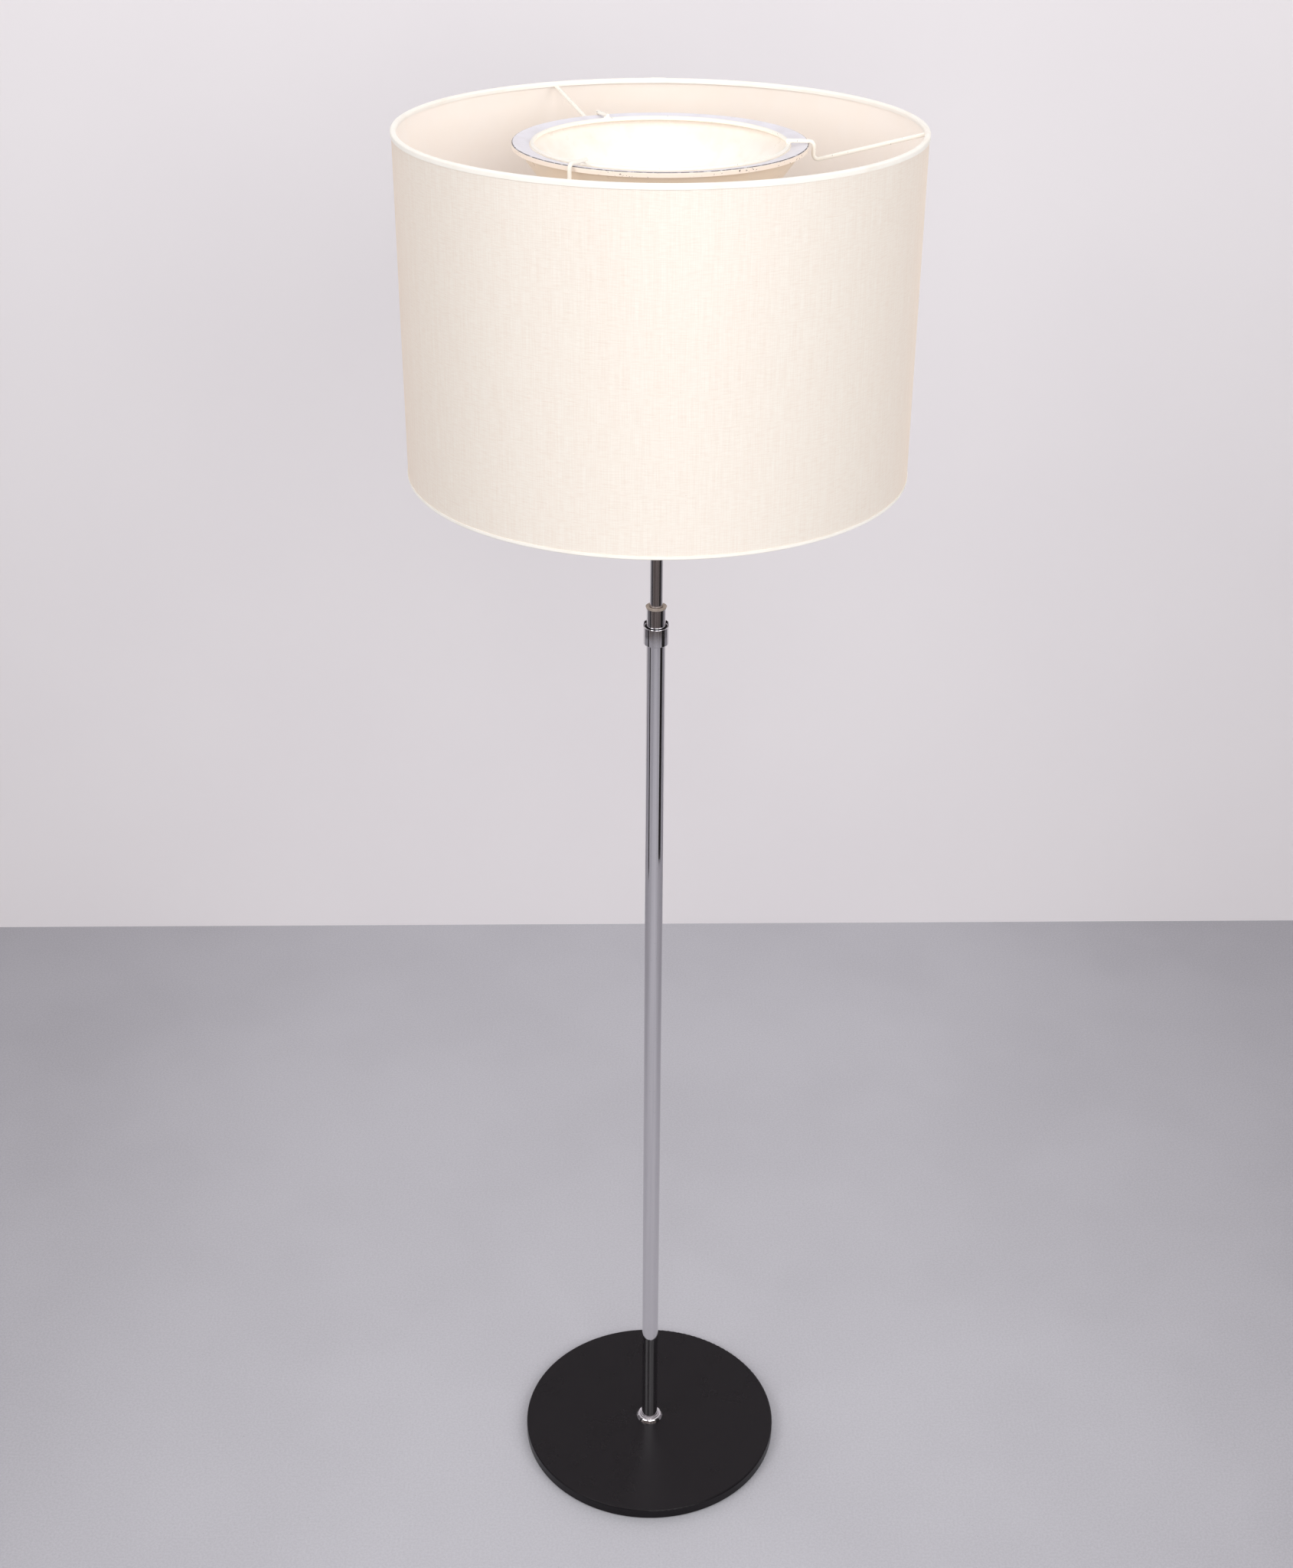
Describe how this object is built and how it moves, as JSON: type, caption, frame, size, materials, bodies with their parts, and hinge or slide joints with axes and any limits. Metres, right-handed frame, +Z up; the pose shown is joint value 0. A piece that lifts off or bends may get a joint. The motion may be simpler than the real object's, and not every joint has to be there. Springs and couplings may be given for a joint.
{
  "type": "floor lamp",
  "caption": "Telescopic floor lamp with a round iron base, a chrome pole of two tubes, a white reflector bowl and a drum shade that hangs on the bowl's rim by a wire carrier.",
  "frame": {"origin": "centre of the underside of the felt pad, on the axis of the pole", "axes": "+Z up along the pole, +X to the lamp's right as seen from the front, +Y to its back, where the flex channel opens"},
  "size_m": [0.4499, 0.4498, 1.478],
  "materials": {
    "black_lacquer": "satin black lacquer",
    "felt": "pressed felt",
    "black_rubber": "moulded",
    "chrome_plate": "polished, slightly worn",
    "zinc_plate": "zinc plated",
    "nickel_plate": "nickel plated",
    "brass": "plain sheet",
    "beige_plastic": "moulded",
    "black_phenolic": "moulded phenolic",
    "porcelain": "white ceramic",
    "opal_glass": "opal white",
    "white_lacquer": "white lacquer, worn at the rim",
    "white_wire": "white lacquer on steel wire",
    "white_tape": "plain woven tape",
    "white_film": "matt laminated film",
    "raw_silk": "slubbed raw silk"
  },
  "bodies": {
    "stand": {"base_disc": "black_lacquer", "base_felt": "felt", "cable_grommet": "black_rubber", "foot_collar": "chrome_plate", "foot_ferrule": "zinc_plate", "foot_nipple": "zinc_plate", "foot_washer": "zinc_plate", "foot_nut": "zinc_plate", "outer_tube": "chrome_plate", "guide_bush": "beige_plastic"},
    "collar": {"collar_cup": "chrome_plate", "collar_liner": "black_rubber"},
    "brake": {"brake_plug": "beige_plastic", "brake_spring": "zinc_plate"},
    "head": {"inner_tube": "chrome_plate", "lock_nut": "zinc_plate", "top_nipple": "zinc_plate", "lampholder_cap": "black_phenolic", "lampholder_insert": "porcelain", "lampholder_skirt": "black_phenolic", "contact_tongue": "brass", "contact_shell": "brass", "shade_ring_lower": "black_phenolic", "shade_ring_upper": "black_phenolic", "bulb_contact": "zinc_plate", "bulb_cap": "nickel_plate", "bulb_glass": "opal_glass", "reflector_bowl": "white_lacquer", "rim_ring": "white_lacquer"},
    "shade": {"carrier_ring": "white_wire", "carrier_arm_right": "white_wire", "carrier_arm_back": "white_wire", "carrier_arm_front": "white_wire", "top_wire": "zinc_plate", "bottom_wire": "zinc_plate", "top_trim": "white_tape", "bottom_trim": "white_tape", "shade_backing": "white_film", "shade_fabric": "raw_silk"}
  },
  "joints": [
    {"name": "stem_slide", "type": "slide", "parent": "stand", "child": "brake", "axis": [0, 0, 1], "range_m": [-0.256, 0.25]},
    {"name": "head_turn", "type": "hinge", "parent": "brake", "child": "head", "pos_m": [0, 0, 1], "axis": [0, 0, 1], "range_deg": [-180, 180]},
    {"name": "collar_slide", "type": "slide", "parent": "stand", "child": "collar", "axis": [0, 0, 1], "range_m": [-0.983, 0.02]},
    {"name": "shade_turn", "type": "hinge", "parent": "head", "child": "shade", "pos_m": [0, 0, 1.4], "axis": [0, 0, 1], "continuous": true}
  ]
}
